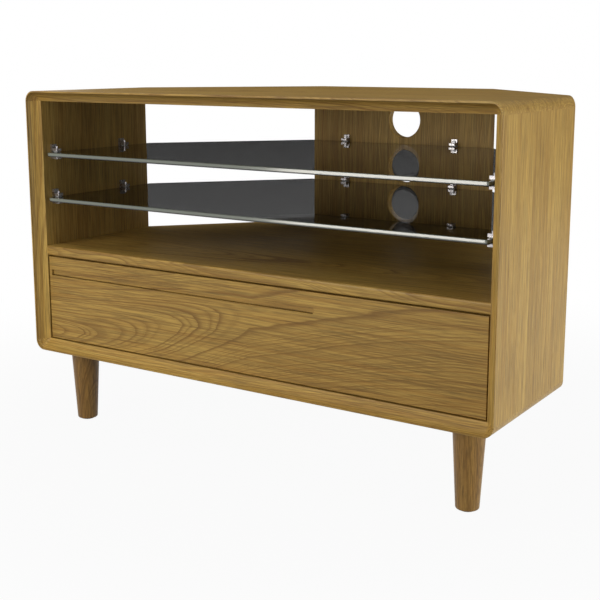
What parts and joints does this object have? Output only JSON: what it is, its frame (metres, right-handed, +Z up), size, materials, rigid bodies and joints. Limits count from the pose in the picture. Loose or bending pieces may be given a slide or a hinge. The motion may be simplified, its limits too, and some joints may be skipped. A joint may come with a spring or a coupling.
{
  "type": "corner media cabinet",
  "caption": "Oak corner media cabinet with rounded frame, open bays with smoked glass shelves, a wide drawer with a routed pull, and turned tapered legs.",
  "frame": {"origin": "on the floor, under the middle of the cabinet's bounding box", "axes": "+Z up, +X to the right seen from the front, -Y out of the front, the way the drawer opens"},
  "size_m": [1, 0.632, 0.671],
  "materials": {
    "oak": "satin lacquered oak",
    "oak_veneer": "lacquered oak veneer",
    "drawer_box_wood": "lacquered plywood",
    "dowel_beech": "fluted beech, unfinished",
    "grey_glass": "polished smoked grey float glass",
    "chrome": "polished chrome plate",
    "clear_pad": "soft clear pad",
    "felt": "pressed felt",
    "zinc_steel": "zinc plated steel",
    "runner_steel": "zinc plated rolled steel",
    "cage_steel": "pressed steel cage and hardened balls"
  },
  "bodies": {
    "root": {"top_panel": "oak", "bottom_panel": "oak", "left_side_panel": "oak", "right_side_panel": "oak", "middle_shelf": "oak", "back_panel": "oak_veneer", "left_corner_panel": "oak_veneer", "right_corner_panel": "oak_veneer", "dowels": "dowel_beech", "lower_glass_shelf": "grey_glass", "upper_glass_shelf": "grey_glass", "glass_clips": "chrome", "clip_pads": "clear_pad", "clip_set_screws": "chrome", "clip_wood_screws": "zinc_steel", "right_cabinet_rail": "runner_steel", "left_cabinet_rail": "runner_steel", "cabinet_rail_screws": "zinc_steel", "leg_bolts": "zinc_steel", "leg_inserts": "zinc_steel", "leg_glides": "felt", "front_left_leg": "oak", "front_right_leg": "oak", "rear_left_leg": "oak", "rear_right_leg": "oak"},
    "drawer": {"drawer_front": "oak", "drawer_box_front": "drawer_box_wood", "drawer_left_side": "drawer_box_wood", "drawer_right_side": "drawer_box_wood", "drawer_back": "drawer_box_wood", "drawer_floor": "drawer_box_wood", "drawer_front_screws": "zinc_steel", "right_drawer_rail": "runner_steel", "left_drawer_rail": "runner_steel", "drawer_rail_screws": "zinc_steel"},
    "middle_rails": {"right_middle_rail": "runner_steel", "left_middle_rail": "runner_steel"},
    "outer_cages": {"right_outer_ball_cages": "cage_steel", "left_outer_ball_cages": "cage_steel"},
    "inner_cages": {"right_inner_ball_cages": "cage_steel", "left_inner_ball_cages": "cage_steel"}
  },
  "joints": [
    {"name": "drawer_slide", "type": "slide", "parent": "root", "child": "drawer", "axis": [0, -1, 0], "range_m": [0, 0.24]},
    {"name": "middle_rail_slide", "type": "slide", "parent": "root", "child": "middle_rails", "axis": [0, -1, 0], "range_m": [0, 0.12]},
    {"name": "outer_cage_slide", "type": "slide", "parent": "root", "child": "outer_cages", "axis": [0, -1, 0], "range_m": [0, 0.06]},
    {"name": "inner_cage_slide", "type": "slide", "parent": "root", "child": "inner_cages", "axis": [0, -1, 0], "range_m": [0, 0.18]}
  ],
  "couplings": [
    {"joint": "middle_rail_slide", "follows": "drawer_slide", "ratio": 0.5},
    {"joint": "outer_cage_slide", "follows": "drawer_slide", "ratio": 0.25},
    {"joint": "inner_cage_slide", "follows": "drawer_slide", "ratio": 0.75}
  ]
}
